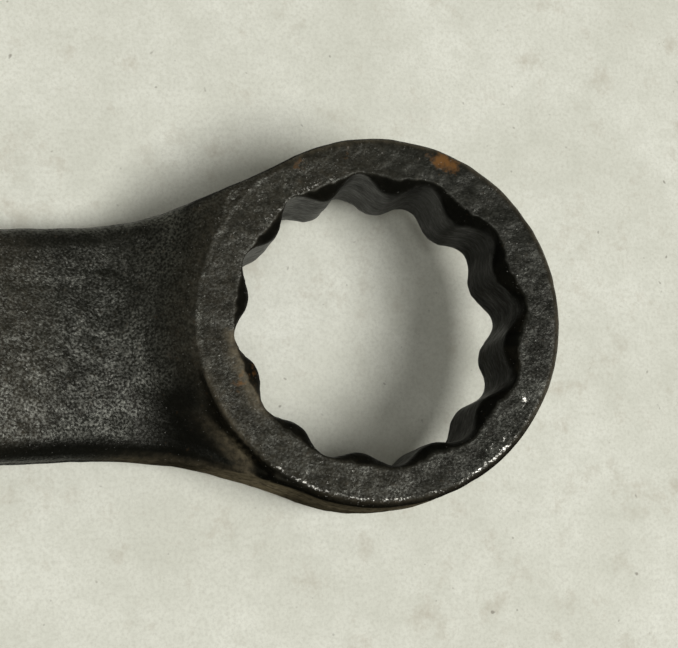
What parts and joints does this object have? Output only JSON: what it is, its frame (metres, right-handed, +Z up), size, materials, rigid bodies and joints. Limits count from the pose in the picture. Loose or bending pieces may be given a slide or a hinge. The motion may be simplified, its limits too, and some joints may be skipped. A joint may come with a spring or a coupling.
{
  "type": "combination wrench",
  "caption": "Forged combination wrench with a raised twelve-point box end, a flat shank and an open end angled in plan, in worn black oxide.",
  "frame": {"origin": "centre of the box opening, midway between the ring's two faces", "axes": "+X along the shank from the open end to the box end, +Z up out of the shank's upper face, with the wrench lying as it rests on a bench"},
  "size_m": [0.3978, 0.0588, 0.026],
  "materials": {
    "forged_steel": "forged and blasted surface under worn black oxide, with bright rubbed rims and light orange-brown rust"
  },
  "bodies": {
    "root": {"combination_wrench": "forged_steel"}
  },
  "joints": []
}
